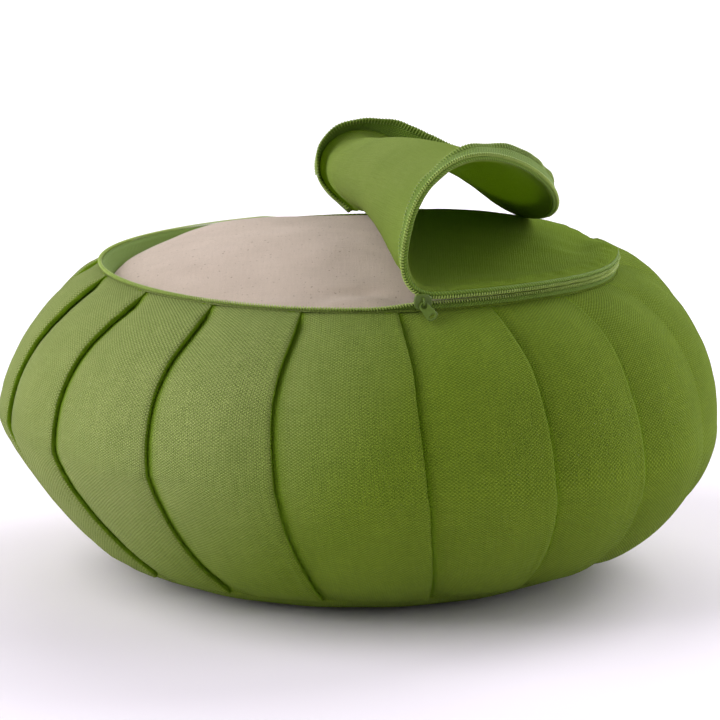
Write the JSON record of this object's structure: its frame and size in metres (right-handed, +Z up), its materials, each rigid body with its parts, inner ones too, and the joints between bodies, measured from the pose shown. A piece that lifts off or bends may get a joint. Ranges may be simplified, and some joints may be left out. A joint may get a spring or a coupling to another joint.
{
  "type": "meditation cushion",
  "caption": "Round filled floor cushion with a pleated side band. Its zipped top panel is part open and curls up over the inner cushion.",
  "frame": {"origin": "middle of the base, on the surface that the cushion stands on", "axes": "+Z up, the front with the zip's slider faces -Y, and the open flap curls over towards +X"},
  "size_m": [0.411, 0.4118, 0.2627],
  "materials": {
    "green_canvas": "plain woven cotton canvas",
    "casing_cotton": "unbleached cotton",
    "green_zip_tape": "herringbone tape",
    "green_zip_coil": "satin",
    "green_painted_metal": "satin paint"
  },
  "bodies": {
    "root": {"inner_cushion": "casing_cotton", "side_band": "green_canvas", "base_panel": "green_canvas", "top_panel": "green_canvas", "zip_tape_lower": "green_zip_tape", "zip_tape_upper": "green_zip_tape", "zip_coil_lower": "green_zip_coil", "zip_coil_upper": "green_zip_coil", "zip_slider": "green_painted_metal", "zip_pull": "green_painted_metal"}
  },
  "joints": []
}
